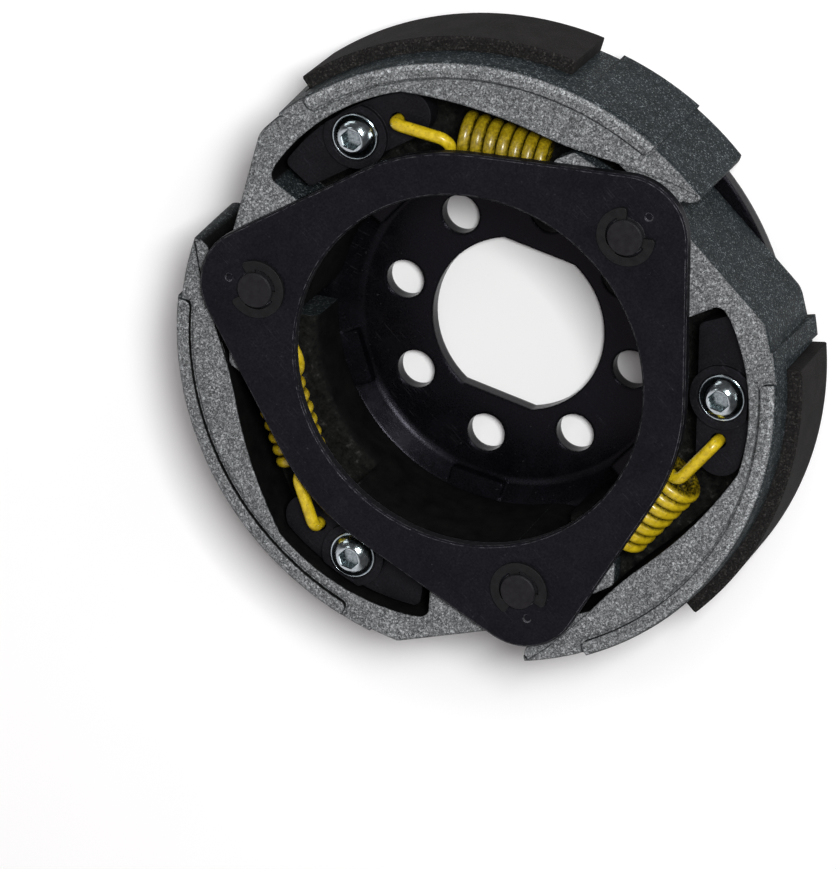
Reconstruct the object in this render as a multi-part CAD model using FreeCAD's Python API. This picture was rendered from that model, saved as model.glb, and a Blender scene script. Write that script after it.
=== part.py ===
import FreeCAD, Part
import math
import os

os.makedirs("parts", exist_ok=True)

# Centrifugal clutch with hinged shoes, in millimetres.
# The clutch axis is Z, the back of the dished base plate lies at Z = 0 and the
# triangular front plate is on top. Each shoe is drawn once, hinged on the pin at
# angle SHOE_PITCH with its free tip near the pin at angle 0, and then turned into place.
# SHOE_R sets the size of the clutch. An inset is measured inwards from SHOE_R.

# Layout of the whole clutch
SHOE_COUNT = 3
SHOE_PITCH = 360.0 / SHOE_COUNT
SHOE_R = 70.3
SHOE_WIDTH = 28.7
PIN_INSET = 19.0

# Dished base plate
BASE_SHEET = 3.5
BASE_INSET = 5.7
DISH_DEPTH = 4.35
DISH_OVERLAP = 1.1
DISH_RUN = 5.0
DISH_BEVEL = 0.6
BOLT_INSET = 9.65
BOLT_HOLE_R = 4.5
BOLT_COUNT = 8
BOLT_FIRST_ANGLE = 30.0
HUB_RIM = 7.55
HUB_FLAT_DEPTH = 1.9
HUB_FLAT_ANGLE = 30.0
PAD_COUNT = 6
PAD_FIRST_ANGLE = 32.7
PAD_HALF_ANGLE = 9.5
PAD_EDGE_HEIGHT = 2.95
PAD_PROUD = 0.1

# Shoe casting: heights
SHOE_BACK_GAP = 0.2
SHOE_DEPTH = 27.2
SHOE_TO_PLATE_GAP = 0.3
POCKET_DEPTH = 13.7
BAND_RISE = 0.8
LEDGE_DROP = 0.7

# Shoe casting: outline
SHOE_DRAFT = 1.5
FRONT_EDGE_R = 1.5
TIP_ZONE_INSET = 0.9
TAIL_ZONE_INSET = 0.5
TIP_ROUND_ANGLE = -1.9
TIP_END_ANGLE = -3.6
TIP_STEP_ANGLE = 8.5
TAIL_STEP_ANGLE = 85.5
TAIL_CORNER_R = 6.0
NOSE_WIDTH = 4.2
BAND_WIDTH = 3.5
BAND_CORNER_R = 1.4
BAND_GROOVE_WIDTH = 0.6
BAND_GROOVE_DEPTH = 0.5
BAND_START_ANGLE = 8.8
BAND_END_ANGLE = 79.5
BOSS_R = 9.6
BOSS_TO_TIP_GAP = 0.4

# Spring pocket: thickness of its outer wall at each angle, from the tip to the tail
POCKET_ANGLES = (13.0, 21.5, 30.0, 46.0, 60.4, 78.0, 92.9)
WALL_AT_TIP = 9.4
WALL_AT_HORN = 12.0
WALL_AT_HOOK = 12.4
WALL_AT_COIL = 10.1
WALL_AT_EYE = 6.1
WALL_AT_SCREW = 6.4
WALL_AT_TAIL = 8.0
LEDGE_ANGLES = (-3.0, 2.0, 11.0, 21.5)
LEDGE_AT_NOSE = 1.2
LEDGE_AT_TIP = 4.0
LEDGE_AT_MIDDLE = 8.6
LEDGE_INNER_ANGLE = 14.0
FLOOR_START_ANGLE = 12.0
FLOOR_EDGE_R = 2.2
INNER_WALL_THICKNESS = 4.5
INNER_WALL_START_ANGLE = 64.5
POCKET_END_ANGLE = 95.3
POCKET_END_WALL = 9.0
POCKET_CORNER_R = 2.2

# Spring anchor horn on the boss
HORN_THICKNESS = 4.4
HORN_OUTER_INSET = 12.7
HORN_END_ANGLE = 21.4
HORN_LIP = 1.8
HORN_TIP_WIDTH = 4.0
HORN_CORNER_R = 1.4
HOOK_TO_BOSS_GAP = 1.05
HOOK_DIRECTION = 104.4
HOOK_HOLE_GAP = 0.45

# Friction lining
LINING_THICKNESS = 3.3
LINING_WIDTH = 20.0
LINING_START_ANGLE = 28.8
LINING_END_ANGLE = 80.4
LINING_BOND_GAP = 0.05
LINING_CHAMFER = 0.5
SEAT_STEP = 0.2
SEAT_START_ANGLE = 24.5
SEAT_END_ANGLE = 81.7

# Pivot pin, front plate and retaining clip
PIN_R = 5.0
PIN_NECK_R = 4.05
PIN_RUNNING_GAP = 0.05
PIN_FIT_GAP = 0.02
RIVET_HEAD_R = 5.8
RIVET_HEAD_HEIGHT = 1.3
PIN_TIP_HEIGHT = 1.7
PIN_TIP_CHAMFER = 0.25
GROOVE_R = 3.3
PLATE_THICKNESS = 2.5
PLATE_HOLE_INSET = 10.64
PLATE_RIM = 9.69
PLATE_LOBE_R = 13.7
PLATE_CHAMFER = 0.4
DIMPLE_R = 0.9
DIMPLE_DEPTH = 0.4
DIMPLE_OFFSET = 6.9
CLIP_R = 6.6
CLIP_WIDTH = 1.95
CLIP_THICKNESS = 0.9
CLIP_OPENING_HALF_ANGLE = 44.0
CLIP_LUG_HALF_ANGLE = 14.0
CLIP_END_R = 0.75
CLIP_GROOVE_GAP = 0.05

# Spring adjuster and its screw
ADJUSTER_DROP = 3.8
ADJUSTER_THICKNESS = 5.0
ADJUSTER_WALL_GAP = 1.0
ADJUSTER_INSET = 19.1
ADJUSTER_END_ANGLE = 92.4
ADJUSTER_CORNER_R = 1.6
CLAW_ANGLE = 56.5
COLLAR_R = 7.35
COLLAR_HEIGHT = 1.25
COUNTERBORE_DEPTH = 0.5
COUNTERBORE_GAP = 0.35
SCREW_ANGLE = 75.0
SCREW_INSET = 13.2
SCREW_R = 3.0
SCREW_FIT_GAP = 0.1
SCREW_REACH = 9.0
SCREW_FLANGE_R = 5.35
SCREW_FLANGE_HEIGHT = 0.6
SCREW_DOME_R = 4.95
SCREW_DOME_HEIGHT = 2.5
SCREW_TOP_R = 2.8
SOCKET_ACROSS_FLATS = 4.0
SOCKET_DEPTH = 1.9
POST_R = 6.0
EYE_ANGLE = 64.4
EYE_INSET = 13.1
EYE_GAP = 0.45

# Tension spring
WIRE_R = 1.4
COIL_R = 4.6
COIL_PITCH = 2.95
SPRING_INSET = 20.8
SPRING_LINE_ANGLE = 34.0
SPRING_DROP = 6.8
NEAR_HOOK_LENGTH = 13.2
FAR_HOOK_LENGTH = 10.5
NEAR_BEND_R = 2.8
FAR_BEND_R = 3.2
EYE_BEND_R = 1.8
HOOK_TIP_DROP = 0.8
WIRE_SIDES = 8
COIL_STEPS = 12
BEND_STEPS = 4

# Radii that follow from the sizes above
PIN_CIRCLE_R = SHOE_R - PIN_INSET
INNER_R = SHOE_R - SHOE_WIDTH
BASE_OUTER_R = SHOE_R - BASE_INSET
DISH_TOP_R = INNER_R + DISH_OVERLAP
DISH_FLOOR_R = DISH_TOP_R - DISH_RUN
PAD_DISTANCE = DISH_FLOOR_R - PAD_PROUD
BOLT_CIRCLE_R = DISH_FLOOR_R - BOLT_INSET
HUB_HOLE_R = BOLT_CIRCLE_R - HUB_RIM
HUB_FLAT_DISTANCE = HUB_HOLE_R - HUB_FLAT_DEPTH
PLATE_HOLE_R = PIN_CIRCLE_R - PLATE_HOLE_INSET
PLATE_HUB_R = PLATE_HOLE_R + PLATE_RIM
SEAT_R = SHOE_R + SEAT_STEP
HORN_OUTER_R = SHOE_R - HORN_OUTER_INSET
INNER_WALL_R = INNER_R + INNER_WALL_THICKNESS
ADJUSTER_INNER_DISTANCE = SHOE_R - ADJUSTER_INSET
SCREW_CIRCLE_R = SHOE_R - SCREW_INSET
EYE_CIRCLE_R = SHOE_R - EYE_INSET
SPRING_LINE_DISTANCE = SHOE_R - SPRING_INSET

# Stations (angle, distance in from SHOE_R) that follow from the sizes above
POCKET_STATIONS = tuple(zip(POCKET_ANGLES, (
    WALL_AT_TIP, WALL_AT_HORN, WALL_AT_HOOK, WALL_AT_COIL, WALL_AT_EYE, WALL_AT_SCREW, WALL_AT_TAIL
)))
LEDGE_STATIONS = tuple(zip(LEDGE_ANGLES, (
    LEDGE_AT_NOSE, LEDGE_AT_TIP, LEDGE_AT_MIDDLE, WALL_AT_HORN
)))

# Heights that follow from the sizes above
BASE_FRONT_Z = DISH_DEPTH + BASE_SHEET
SHOE_BACK_Z = BASE_FRONT_Z + SHOE_BACK_GAP
SHOE_FRONT_Z = SHOE_BACK_Z + SHOE_DEPTH
PLATE_BACK_Z = SHOE_FRONT_Z + SHOE_TO_PLATE_GAP
PLATE_FRONT_Z = PLATE_BACK_Z + PLATE_THICKNESS
POCKET_FLOOR_Z = SHOE_FRONT_Z - POCKET_DEPTH
ADJUSTER_TOP_Z = SHOE_FRONT_Z - ADJUSTER_DROP
ADJUSTER_BACK_Z = ADJUSTER_TOP_Z - ADJUSTER_THICKNESS
COLLAR_TOP_Z = ADJUSTER_TOP_Z + COLLAR_HEIGHT
SCREW_SEAT_Z = COLLAR_TOP_Z - COUNTERBORE_DEPTH
SPRING_AXIS_Z = SHOE_FRONT_Z - SPRING_DROP
HORN_BACK_Z = SHOE_FRONT_Z - HORN_THICKNESS

# How far cutting tools reach past what they cut
OVERCUT = 1.0
WIDE_CUT = 5.0


def polar(radius, angle, z=0.0):
    turn = math.radians(angle)
    return FreeCAD.Vector(radius * math.cos(turn), radius * math.sin(turn), z)


def arc(start, middle, end):
    return Part.Arc(start, middle, end).toShape()


def line(start, end):
    return Part.LineSegment(start, end).toShape()


def circle_arc(radius, start_angle, end_angle, centre=FreeCAD.Vector(0, 0, 0)):
    middle_angle = (start_angle + end_angle) / 2
    return arc(
        centre + polar(radius, start_angle),
        centre + polar(radius, middle_angle),
        centre + polar(radius, end_angle),
    )


def prism(edges, z_low, z_high):
    """Solid between two heights over a closed flat outline drawn at Z = 0."""
    face = Part.Face(Part.Wire(Part.__sortEdges__(edges)))
    face.translate(FreeCAD.Vector(0, 0, z_low))
    return face.extrude(FreeCAD.Vector(0, 0, z_high - z_low))


def polygon_prism(points, z_low, z_high):
    edges = []
    for index, point in enumerate(points):
        edges.append(line(points[index - 1], point))
    return prism(edges, z_low, z_high)


def disc(radius, z_low, z_high, centre=FreeCAD.Vector(0, 0, 0)):
    base = FreeCAD.Vector(centre.x, centre.y, z_low)
    return Part.makeCylinder(radius, z_high - z_low, base)


def ring_sector(inner_r, outer_r, start_angle, end_angle, z_low, z_high):
    edges = [
        circle_arc(outer_r, start_angle, end_angle),
        line(polar(outer_r, end_angle), polar(inner_r, end_angle)),
        circle_arc(inner_r, end_angle, start_angle),
        line(polar(inner_r, start_angle), polar(outer_r, start_angle)),
    ]
    return prism(edges, z_low, z_high)


def revolve(edges, start_angle=0.0, sweep=360.0):
    """Turn a closed outline drawn in the XZ plane round the Z axis."""
    face = Part.Face(Part.Wire(Part.__sortEdges__(edges)))
    face.rotate(FreeCAD.Vector(0, 0, 0), FreeCAD.Vector(0, 0, 1), start_angle)
    return face.revolve(FreeCAD.Vector(0, 0, 0), FreeCAD.Vector(0, 0, 1), sweep)


def turned(points, start_angle=0.0, sweep=360.0):
    """Turned solid from (radius, height) corners."""
    corners = [FreeCAD.Vector(radius, 0, z) for radius, z in points]
    edges = []
    for index, corner in enumerate(corners):
        edges.append(line(corners[index - 1], corner))
    return revolve(edges, start_angle, sweep)


def upright_edges(solid, point, reach=1.0):
    """Edges parallel to Z that pass close to a plan position."""
    found = []
    for edge in solid.Edges:
        ends = [vertex.Point for vertex in edge.Vertexes]
        if len(ends) != 2 or abs(ends[0].z - ends[1].z) < 0.5:
            continue
        offsets = [math.hypot(end.x - point.x, end.y - point.y) for end in ends]
        if max(offsets) < reach:
            found.append(edge)
    return found


def edges_at_height(solid, z):
    found = []
    for edge in solid.Edges:
        box = edge.BoundBox
        if abs(box.ZMin - z) < 0.001 and abs(box.ZMax - z) < 0.001:
            found.append(edge)
    return found


def spun(solid, angle):
    copy = solid.copy()
    copy.rotate(FreeCAD.Vector(0, 0, 0), FreeCAD.Vector(0, 0, 1), angle)
    return copy


def pin_centre(angle):
    return polar(PIN_CIRCLE_R, angle)


# Dished base plate

def base_section():
    """Closed outline of the dished sheet: flat outer ring above a lower centre disc."""
    bevel = DISH_BEVEL
    lean = DISH_DEPTH / DISH_RUN
    shift = BASE_SHEET * (math.hypot(DISH_RUN, DISH_DEPTH) - DISH_DEPTH) / DISH_RUN
    return [
        (0.0, 0.0),
        (DISH_FLOOR_R + shift, 0.0),
        (DISH_TOP_R + shift, DISH_DEPTH),
        (BASE_OUTER_R, DISH_DEPTH),
        (BASE_OUTER_R, BASE_FRONT_Z),
        (DISH_TOP_R + bevel, BASE_FRONT_Z),
        (DISH_TOP_R - bevel, BASE_FRONT_Z - bevel * lean),
        (DISH_FLOOR_R + bevel, BASE_SHEET + bevel * lean),
        (DISH_FLOOR_R - bevel, BASE_SHEET),
        (0.0, BASE_SHEET),
    ]


def flank_pad(angle):
    """Straight ledge pressed inwards from the sloping flank, its top rising to the rim."""
    half_width = PAD_DISTANCE * math.tan(math.radians(PAD_HALF_ANGLE))
    outer_r = DISH_TOP_R + OVERCUT
    corners = [
        FreeCAD.Vector(PAD_DISTANCE, -half_width, BASE_SHEET / 2),
        FreeCAD.Vector(PAD_DISTANCE, -half_width, BASE_SHEET + PAD_EDGE_HEIGHT),
        FreeCAD.Vector(outer_r, -half_width, BASE_FRONT_Z),
        FreeCAD.Vector(outer_r, -half_width, BASE_SHEET / 2),
    ]
    face = Part.Face(Part.makePolygon(corners + corners[:1]))
    return spun(face.extrude(FreeCAD.Vector(0, 2 * half_width, 0)), angle)


def hub_hole():
    """Round hole with two opposite flats."""
    hole = disc(HUB_HOLE_R, -OVERCUT, BASE_SHEET + OVERCUT)
    width = 2 * HUB_HOLE_R + OVERCUT
    slab = Part.makeBox(
        2 * HUB_FLAT_DISTANCE,
        width,
        BASE_SHEET + 4 * OVERCUT,
        FreeCAD.Vector(-HUB_FLAT_DISTANCE, -width / 2, -2 * OVERCUT),
    )
    return hole.common(spun(slab, HUB_FLAT_ANGLE))


def base_plate():
    plate = turned(base_section())
    for index in range(PAD_COUNT):
        plate = plate.fuse(flank_pad(PAD_FIRST_ANGLE + index * 360.0 / PAD_COUNT))
    cuts = [hub_hole()]
    for index in range(BOLT_COUNT):
        angle = BOLT_FIRST_ANGLE + index * 360.0 / BOLT_COUNT
        centre = polar(BOLT_CIRCLE_R, angle)
        cuts.append(disc(BOLT_HOLE_R, -OVERCUT, BASE_SHEET + OVERCUT, centre))
    for index in range(SHOE_COUNT):
        centre = pin_centre(index * SHOE_PITCH)
        cuts.append(disc(PIN_NECK_R + PIN_FIT_GAP, 0, BASE_FRONT_Z + OVERCUT, centre))
    return plate.cut(cuts).removeSplitter()


# Pivot pin, front plate and retaining clip

def pivot_pin(angle):
    """Shouldered pin, riveted behind the base plate and grooved for the clip."""
    tip_z = PLATE_FRONT_Z + PIN_TIP_HEIGHT
    groove_top_z = PLATE_FRONT_Z + CLIP_THICKNESS + CLIP_GROOVE_GAP
    head_z = DISH_DEPTH - RIVET_HEAD_HEIGHT
    body = turned([
        (0.0, head_z),
        (RIVET_HEAD_R, head_z),
        (RIVET_HEAD_R, DISH_DEPTH),
        (PIN_NECK_R, DISH_DEPTH),
        (PIN_NECK_R, BASE_FRONT_Z),
        (PIN_R, BASE_FRONT_Z),
        (PIN_R, PLATE_BACK_Z),
        (PIN_NECK_R, PLATE_BACK_Z),
        (PIN_NECK_R, PLATE_FRONT_Z - CLIP_GROOVE_GAP),
        (GROOVE_R, PLATE_FRONT_Z - CLIP_GROOVE_GAP),
        (GROOVE_R, groove_top_z),
        (PIN_NECK_R, groove_top_z),
        (PIN_NECK_R, tip_z - PIN_TIP_CHAMFER),
        (PIN_NECK_R - PIN_TIP_CHAMFER, tip_z),
        (0.0, tip_z),
    ])
    body.translate(pin_centre(angle))
    return body


def front_plate_outline():
    """Rounded triangle: one lobe round each pin, joined to the hub circle by tangents."""
    lean = math.degrees(math.acos((PLATE_HUB_R - PLATE_LOBE_R) / PIN_CIRCLE_R))
    edges = []
    for index in range(SHOE_COUNT):
        angle = index * SHOE_PITCH
        centre = pin_centre(angle)
        next_angle = angle + SHOE_PITCH
        next_centre = pin_centre(next_angle)
        edges.append(circle_arc(PLATE_LOBE_R, angle - lean, angle + lean, centre))
        edges.append(line(
            centre + polar(PLATE_LOBE_R, angle + lean),
            polar(PLATE_HUB_R, angle + lean),
        ))
        edges.append(circle_arc(PLATE_HUB_R, angle + lean, next_angle - lean))
        edges.append(line(
            polar(PLATE_HUB_R, next_angle - lean),
            next_centre + polar(PLATE_LOBE_R, next_angle - lean),
        ))
    return edges


def front_plate():
    plate = prism(front_plate_outline(), PLATE_BACK_Z, PLATE_FRONT_Z)
    plate = plate.cut(disc(PLATE_HOLE_R, 0, PLATE_FRONT_Z + OVERCUT))
    plate = plate.makeChamfer(PLATE_CHAMFER, edges_at_height(plate, PLATE_FRONT_Z))
    cuts = []
    for index in range(SHOE_COUNT):
        angle = index * SHOE_PITCH
        centre = pin_centre(angle)
        cuts.append(disc(PIN_NECK_R + PIN_RUNNING_GAP, 0, PLATE_FRONT_Z + OVERCUT, centre))
        dimple = polar(PIN_CIRCLE_R + DIMPLE_OFFSET, angle)
        low = PLATE_FRONT_Z - DIMPLE_DEPTH
        cuts.append(disc(DIMPLE_R, low, PLATE_FRONT_Z + OVERCUT, dimple))
    return plate.cut(cuts)


def circlip(angle):
    """E-shaped clip that grips the pin groove with three lugs, open away from the axis."""
    low = PLATE_FRONT_Z
    high = low + CLIP_THICKNESS
    ring_inner = CLIP_R - CLIP_WIDTH
    lug_inner = GROOVE_R + CLIP_GROOVE_GAP
    first = CLIP_OPENING_HALF_ANGLE
    last = 360.0 - CLIP_OPENING_HALF_ANGLE
    clip = ring_sector(ring_inner, CLIP_R, first, last, low, high)
    lug_centres = [first + CLIP_LUG_HALF_ANGLE, 180.0, last - CLIP_LUG_HALF_ANGLE]
    for lug_centre in lug_centres:
        lug = ring_sector(
            lug_inner,
            ring_inner + CLIP_GROOVE_GAP,
            lug_centre - CLIP_LUG_HALF_ANGLE,
            lug_centre + CLIP_LUG_HALF_ANGLE,
            low,
            high,
        )
        clip = clip.fuse(lug)
    clip = clip.removeSplitter()
    for end_angle in (first, last):
        tips = upright_edges(clip, polar(CLIP_R, end_angle), 0.1)
        clip = clip.makeFillet(CLIP_END_R, tips)
    clip.rotate(FreeCAD.Vector(0, 0, 0), FreeCAD.Vector(0, 0, 1), angle)
    clip.translate(pin_centre(angle))
    return clip


# Shoe casting

def shoe_envelope():
    """Outer skin of the casting: drafted middle, slightly smaller tip and tail zones."""
    top_z = SHOE_FRONT_Z + BAND_RISE

    def zone(front_r, start_angle, end_angle):
        corners = [
            (0.0, SHOE_BACK_Z),
            (front_r + SHOE_DRAFT, SHOE_BACK_Z),
            (front_r, top_z - FRONT_EDGE_R),
            (front_r - 0.3 * FRONT_EDGE_R, top_z - 0.3 * FRONT_EDGE_R),
            (front_r - FRONT_EDGE_R, top_z),
            (0.0, top_z),
        ]
        return turned(corners, start_angle, end_angle - start_angle)

    middle = zone(SHOE_R, TIP_STEP_ANGLE, TAIL_STEP_ANGLE)
    tip = zone(SHOE_R - TIP_ZONE_INSET, TIP_END_ANGLE - SHOE_PITCH / 8, TIP_STEP_ANGLE)
    tail = zone(SHOE_R - TAIL_ZONE_INSET, TAIL_STEP_ANGLE, SHOE_PITCH)
    return middle.fuse([tip, tail.common(tail_corner())])


def tail_corner():
    """Straight end of the tail, which touches the boss and is rounded into the rim."""
    rim_r = SHOE_R - TAIL_ZONE_INSET
    edge_distance = PIN_CIRCLE_R + BOSS_R
    round_r = rim_r - TAIL_CORNER_R
    lean = math.degrees(math.acos((edge_distance - TAIL_CORNER_R) / round_r))
    corner_angle = SHOE_PITCH - lean
    round_centre = polar(round_r, corner_angle)
    rim_end = polar(rim_r, corner_angle)
    edge_start = round_centre + polar(TAIL_CORNER_R, SHOE_PITCH)
    round_middle = round_centre + polar(TAIL_CORNER_R, SHOE_PITCH - lean / 2)
    edge_end = polar(edge_distance, SHOE_PITCH)
    heading = polar(1.0, corner_angle - 90)
    wide = rim_end + heading * (rim_r / 2)
    axis = FreeCAD.Vector(0, 0, 0)
    edges = [
        line(axis, wide),
        line(wide, rim_end),
        arc(rim_end, round_middle, edge_start),
        line(edge_start, edge_end),
        line(edge_end, axis),
    ]
    return prism(edges, SHOE_BACK_Z, SHOE_FRONT_Z + BAND_RISE)


def nose_inner_r():
    return SHOE_R - TIP_ZONE_INSET - NOSE_WIDTH


def shoe_block():
    """Full-height block from the rounded free tip to the pivot boss."""
    outer_r = SHOE_R + WIDE_CUT
    nose_in = polar(nose_inner_r(), TIP_ROUND_ANGLE)
    nose_out = polar(SHOE_R + SHOE_DRAFT, TIP_ROUND_ANGLE)
    nose_end = polar((nose_in.Length + nose_out.Length) / 2, TIP_END_ANGLE)
    edges = [
        circle_arc(outer_r, TIP_ROUND_ANGLE, SHOE_PITCH),
        line(polar(outer_r, SHOE_PITCH), polar(INNER_R, SHOE_PITCH)),
        circle_arc(INNER_R, SHOE_PITCH, TIP_ROUND_ANGLE),
        line(polar(INNER_R, TIP_ROUND_ANGLE), nose_in),
        arc(nose_in, nose_end, nose_out),
        line(nose_out, polar(outer_r, TIP_ROUND_ANGLE)),
    ]
    block = prism(edges, SHOE_BACK_Z, SHOE_FRONT_Z + BAND_RISE)
    return block.common(shoe_envelope())


def next_boss_relief():
    """Room for the boss and tail of the next shoe, which lie beside this shoe's tip."""
    radius = BOSS_R + BOSS_TO_TIP_GAP
    round_part = disc(radius, 0, PLATE_FRONT_Z, pin_centre(0))
    inner_part = ring_sector(
        INNER_R - WIDE_CUT, PIN_CIRCLE_R, TIP_END_ANGLE - WIDE_CUT, FLOOR_START_ANGLE, 0, PLATE_FRONT_Z
    )
    nose = [
        FreeCAD.Vector(PIN_CIRCLE_R + radius, radius / 4, 0),
        FreeCAD.Vector(nose_inner_r(), -radius / 3, 0),
        FreeCAD.Vector(nose_inner_r(), -2 * radius, 0),
        FreeCAD.Vector(PIN_CIRCLE_R, -2 * radius, 0),
        FreeCAD.Vector(PIN_CIRCLE_R, radius / 4, 0),
    ]
    nose_part = polygon_prism(nose, 0, PLATE_FRONT_Z)
    return round_part.fuse([inner_part, nose_part])


def wall_point(station, gap=0.0):
    """Point on the inner side of the pocket's outer wall, or clear of it by a gap."""
    angle, thickness = POCKET_STATIONS[station]
    return polar(SHOE_R - thickness - gap, angle)


def spring_pocket():
    """Trough for spring and adjuster, open towards the clutch axis near the tip."""
    corner = polar(SHOE_R - POCKET_END_WALL, POCKET_END_ANGLE + 1.0)
    wall_end_angle = POCKET_END_ANGLE - 1.0
    low_r = INNER_R - WIDE_CUT
    mouth = polar(PIN_CIRCLE_R + BOSS_R, 0.0)
    edges = [
        arc(wall_point(0), wall_point(1), wall_point(2)),
        arc(wall_point(2), wall_point(3), wall_point(4)),
        arc(wall_point(4), wall_point(5), wall_point(6)),
        line(wall_point(6), corner),
        line(corner, polar(INNER_WALL_R, wall_end_angle)),
        circle_arc(INNER_WALL_R, wall_end_angle, INNER_WALL_START_ANGLE),
        line(polar(INNER_WALL_R, INNER_WALL_START_ANGLE), polar(low_r, INNER_WALL_START_ANGLE)),
        circle_arc(low_r, INNER_WALL_START_ANGLE, 0.0),
        line(polar(low_r, 0.0), mouth),
        line(mouth, wall_point(0)),
    ]
    pocket = prism(edges, POCKET_FLOOR_Z, PLATE_FRONT_Z)
    return pocket.makeFillet(POCKET_CORNER_R, upright_edges(pocket, corner, 0.1))


def floor_edge_round():
    """Cut that rounds the open inner edge of the pocket floor."""
    low_z = POCKET_FLOOR_Z - FLOOR_EDGE_R
    middle_share = FLOOR_EDGE_R * (1 - math.sqrt(0.5))
    start = FreeCAD.Vector(INNER_R, 0, low_z)
    middle = FreeCAD.Vector(INNER_R + middle_share, 0, POCKET_FLOOR_Z - middle_share)
    end = FreeCAD.Vector(INNER_R + FLOOR_EDGE_R, 0, POCKET_FLOOR_Z)
    outside = [
        end,
        FreeCAD.Vector(end.x, 0, POCKET_FLOOR_Z + OVERCUT),
        FreeCAD.Vector(INNER_R - OVERCUT, 0, POCKET_FLOOR_Z + OVERCUT),
        FreeCAD.Vector(INNER_R - OVERCUT, 0, low_z),
        start,
    ]
    edges = [line(outside[index], outside[index + 1]) for index in range(4)]
    edges.append(arc(start, middle, end))
    return revolve(edges, 0.0, INNER_WALL_START_ANGLE)


def band_region(grow, low, high):
    """Rounded strip along the outer edge of the front, widened all round by grow."""
    inner_r = SHOE_R - BAND_WIDTH - grow
    turn = math.degrees(grow / inner_r)
    start = BAND_START_ANGLE - turn
    end = BAND_END_ANGLE + turn
    strip = ring_sector(inner_r, SHOE_R + WIDE_CUT, start, end, low, high)
    ends = upright_edges(strip, polar(inner_r, start), 0.1)
    ends += upright_edges(strip, polar(inner_r, end), 0.1)
    return strip.makeFillet(BAND_CORNER_R + grow, ends)


def band_trim():
    """Everything above the main face that isn't the raised band, and the groove beside it."""
    groove_z = SHOE_FRONT_Z - BAND_GROOVE_DEPTH
    high = SHOE_FRONT_Z + BAND_RISE + OVERCUT
    band = band_region(0.0, groove_z - OVERCUT, high)
    groove = band_region(BAND_GROOVE_WIDTH, groove_z, high)
    above = disc(SHOE_R + WIDE_CUT / 2, SHOE_FRONT_Z, high)
    return above.fuse(groove).cut(band)


def tip_ledge():
    """Shallow sunk ledge along the inner side of the tip."""
    low = SHOE_FRONT_Z - LEDGE_DROP
    points = [polar(SHOE_R - inset, angle) for angle, inset in LEDGE_STATIONS]
    points.append(polar(PIN_CIRCLE_R, LEDGE_INNER_ANGLE))
    points.append(polar(PIN_CIRCLE_R, -LEDGE_INNER_ANGLE))
    return polygon_prism(points, low, PLATE_FRONT_Z)


def hook_hole_centre():
    """Where the far spring hook rises, measured in the frame of the shoe that it pulls."""
    distance = BOSS_R + HOOK_TO_BOSS_GAP + WIRE_R
    return pin_centre(0) + polar(distance, HOOK_DIRECTION)


def anchor_horn():
    """Flat horn on the boss that the neighbouring shoe's spring hooks into."""
    points = [
        polar(PIN_CIRCLE_R + BOSS_R * 0.7, HORN_END_ANGLE / 4),
        polar(HORN_OUTER_R, HORN_END_ANGLE / 2),
        polar(HORN_OUTER_R, HORN_END_ANGLE),
        polar(HORN_OUTER_R - HORN_TIP_WIDTH, HORN_END_ANGLE + 2 * HORN_LIP),
        polar(HORN_OUTER_R - 2 * HORN_TIP_WIDTH, HORN_END_ANGLE + HORN_LIP),
        polar(PIN_CIRCLE_R - BOSS_R * 0.6, HORN_END_ANGLE / 3),
        pin_centre(0),
    ]
    horn = polygon_prism(points, HORN_BACK_Z, SHOE_FRONT_Z)
    corners = upright_edges(horn, points[2], 0.1) + upright_edges(horn, points[3], 0.1)
    horn = horn.makeFillet(HORN_CORNER_R, corners)
    hole = disc(WIRE_R + HOOK_HOLE_GAP, 0, PLATE_FRONT_Z, hook_hole_centre())
    return spun(horn.cut(hole), SHOE_PITCH)


def shoe():
    boss_centre = pin_centre(SHOE_PITCH)
    screw_centre = polar(SCREW_CIRCLE_R, SCREW_ANGLE)
    seat_top = SHOE_BACK_Z + LINING_WIDTH
    seat = ring_sector(SEAT_R, SHOE_R + WIDE_CUT, SEAT_START_ANGLE, SEAT_END_ANGLE, 0, seat_top)
    casting = shoe_block().cut([
        spring_pocket(),
        floor_edge_round(),
        band_trim(),
        tip_ledge(),
        next_boss_relief(),
        seat,
    ])
    casting = casting.fuse([
        disc(BOSS_R, SHOE_BACK_Z, SHOE_FRONT_Z, boss_centre),
        anchor_horn(),
        disc(POST_R, SHOE_BACK_Z, ADJUSTER_BACK_Z, screw_centre),
    ])
    tapped_low = ADJUSTER_BACK_Z - SCREW_REACH - OVERCUT
    casting = casting.cut([
        disc(PIN_R + PIN_RUNNING_GAP, 0, PLATE_FRONT_Z, boss_centre),
        disc(SCREW_R + SCREW_FIT_GAP, tapped_low, PLATE_FRONT_Z, screw_centre),
    ])
    return casting.removeSplitter()


def lining():
    """Curved friction block bonded to the outside of the shoe."""
    inner_r = SEAT_R + LINING_BOND_GAP
    outer_r = inner_r + LINING_THICKNESS
    top_z = SHOE_BACK_Z + LINING_WIDTH
    corners = [
        (inner_r, SHOE_BACK_Z),
        (outer_r - LINING_CHAMFER, SHOE_BACK_Z),
        (outer_r, SHOE_BACK_Z + LINING_CHAMFER),
        (outer_r, top_z - LINING_CHAMFER),
        (outer_r - LINING_CHAMFER, top_z),
        (inner_r, top_z),
    ]
    return turned(corners, LINING_START_ANGLE, LINING_END_ANGLE - LINING_START_ANGLE)


# Spring adjuster and its screw

def inner_edge_point(angle):
    """Point on the adjuster's straight inner edge, which is square to the screw's radius."""
    lean = math.radians(SCREW_ANGLE - angle)
    return polar(ADJUSTER_INNER_DISTANCE / math.cos(lean), angle)


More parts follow.
